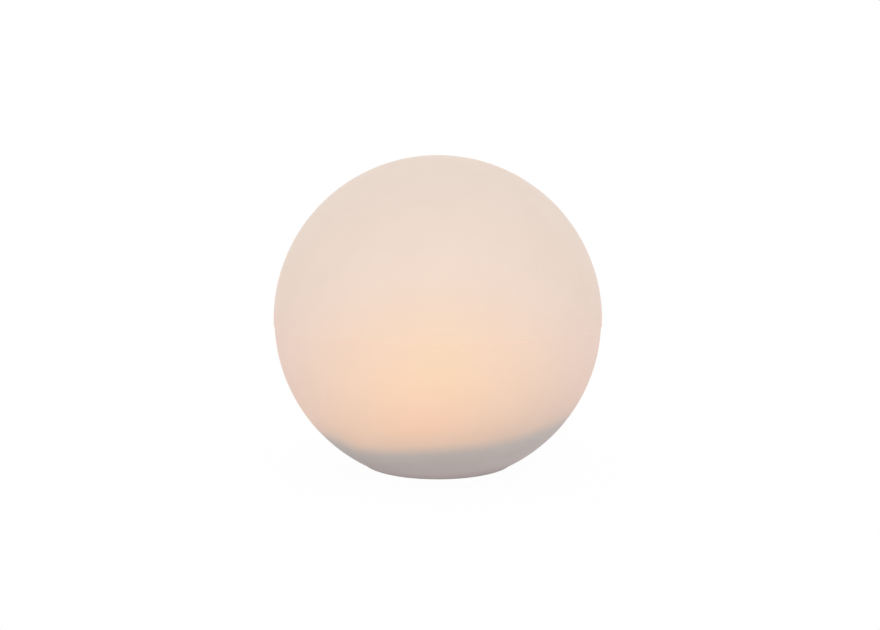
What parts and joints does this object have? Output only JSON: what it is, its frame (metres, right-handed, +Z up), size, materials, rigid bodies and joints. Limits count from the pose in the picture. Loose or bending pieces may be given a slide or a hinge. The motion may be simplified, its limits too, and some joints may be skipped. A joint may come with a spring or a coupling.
{
  "type": "garden globe light",
  "caption": "Milky ball-shaped garden light in two lapped halves on a flat foot, with an opaque battery module, a timer board and a single lamp diode inside.",
  "frame": {"origin": "centre of the flat foot, on the surface that the globe stands on", "axes": "+Z up along the globe's axis, -Y towards the viewer's front, +X to the viewer's right"},
  "size_m": [0.2, 0.2, 0.1885],
  "materials": {
    "globe_plastic": "satin",
    "seal_rubber": "matte",
    "gasket_foam": "matte",
    "housing_plastic": "matte",
    "deck_plastic": "satin",
    "door_plastic": "matte",
    "screw_steel": "satin",
    "insert_brass": "satin",
    "holder_plastic": "matte",
    "led_lens": "gloss",
    "tinned_wire": "satin",
    "board_laminate": "satin",
    "chip_black": "matte",
    "crystal_can": "satin",
    "capacitor_tan": "matte",
    "resistor_film": "gloss",
    "switch_black": "matte",
    "slider_plastic": "satin",
    "cell_jacket": "gloss",
    "contact_nickel": "satin",
    "wire_red": "satin",
    "wire_black": "satin",
    "wire_grey": "satin"
  },
  "bodies": {
    "base": {"globe_lower_shell": "globe_plastic", "seam_seal": "seal_rubber", "housing_gasket": "gasket_foam", "housing_screws": "screw_steel", "battery_housing": "housing_plastic", "top_deck": "deck_plastic", "deck_screws": "screw_steel", "led_holder": "holder_plastic", "led": "led_lens", "led_leads": "tinned_wire", "circuit_board": "board_laminate", "board_screws": "screw_steel", "timer_chip": "chip_black", "chip_legs": "tinned_wire", "timing_crystal": "crystal_can", "capacitors": "capacitor_tan", "resistors": "resistor_film", "switch_body": "switch_black", "switch_terminals": "tinned_wire", "door_insert": "insert_brass", "door_hinge_pin": "screw_steel", "battery_cell_front": "cell_jacket", "battery_cell_middle": "cell_jacket", "battery_cell_back": "cell_jacket", "contact_plates": "contact_nickel", "contact_springs": "contact_nickel", "positive_wire": "wire_red", "negative_wire": "wire_black", "switch_wires": "wire_grey"},
    "cover": {"globe_upper_shell": "globe_plastic"},
    "door": {"battery_door": "door_plastic", "door_gasket": "gasket_foam", "door_screw": "screw_steel"},
    "slider": {"switch_slider": "slider_plastic"}
  },
  "joints": [
    {"name": "cover_lift", "type": "slide", "parent": "base", "child": "cover", "axis": [0, 0, 1], "range_m": [0, 0.1]},
    {"name": "door_hinge", "type": "hinge", "parent": "base", "child": "door", "pos_m": [0, 0.0256, 0.0023], "axis": [1, 0, 0], "range_deg": [0, 90]},
    {"name": "switch_slide", "type": "slide", "parent": "base", "child": "slider", "axis": [1, 0, 0], "range_m": [0, 0.004]}
  ]
}
